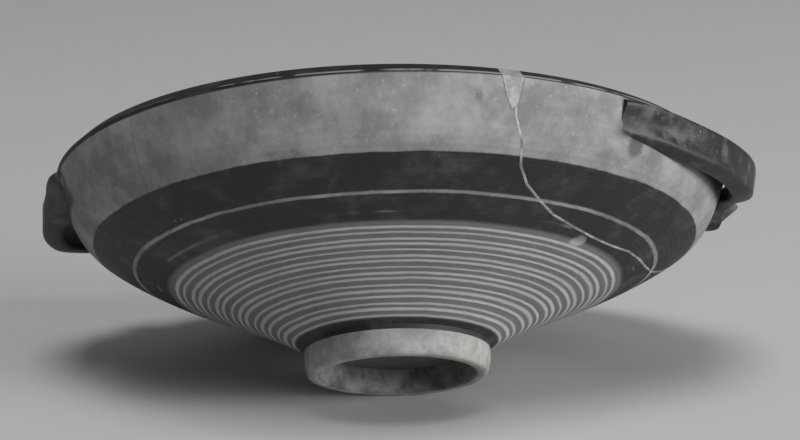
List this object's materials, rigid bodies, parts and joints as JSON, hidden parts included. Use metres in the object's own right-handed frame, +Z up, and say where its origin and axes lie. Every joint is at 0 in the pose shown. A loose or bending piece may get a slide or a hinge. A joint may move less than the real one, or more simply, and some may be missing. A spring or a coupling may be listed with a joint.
{
  "type": "shallow two-handled bowl",
  "caption": "Shallow footed bowl with two horizontal rim handles, painted in dark bands and fine rings, broken and mended.",
  "frame": {"origin": "middle of the foot's resting plane", "axes": "+Z up out of the bowl, X through the two handles, the join with the plaster fill towards -Y"},
  "size_m": [0.2721, 0.25, 0.0787],
  "materials": {
    "clay": "matt fired clay with painted dark slip bands, worn",
    "dark_slip": "satin dark slip over clay, worn at the edges",
    "plaster": "matt toned plaster"
  },
  "bodies": {
    "root": {"wall_main_sherd": "clay", "wall_right_sherd": "clay", "wall_left_sherd": "clay", "plaster_joint_fill": "plaster", "plaster_rim_fill": "plaster", "foot_ring": "clay", "handle_right": "dark_slip", "handle_left": "dark_slip"}
  },
  "joints": []
}
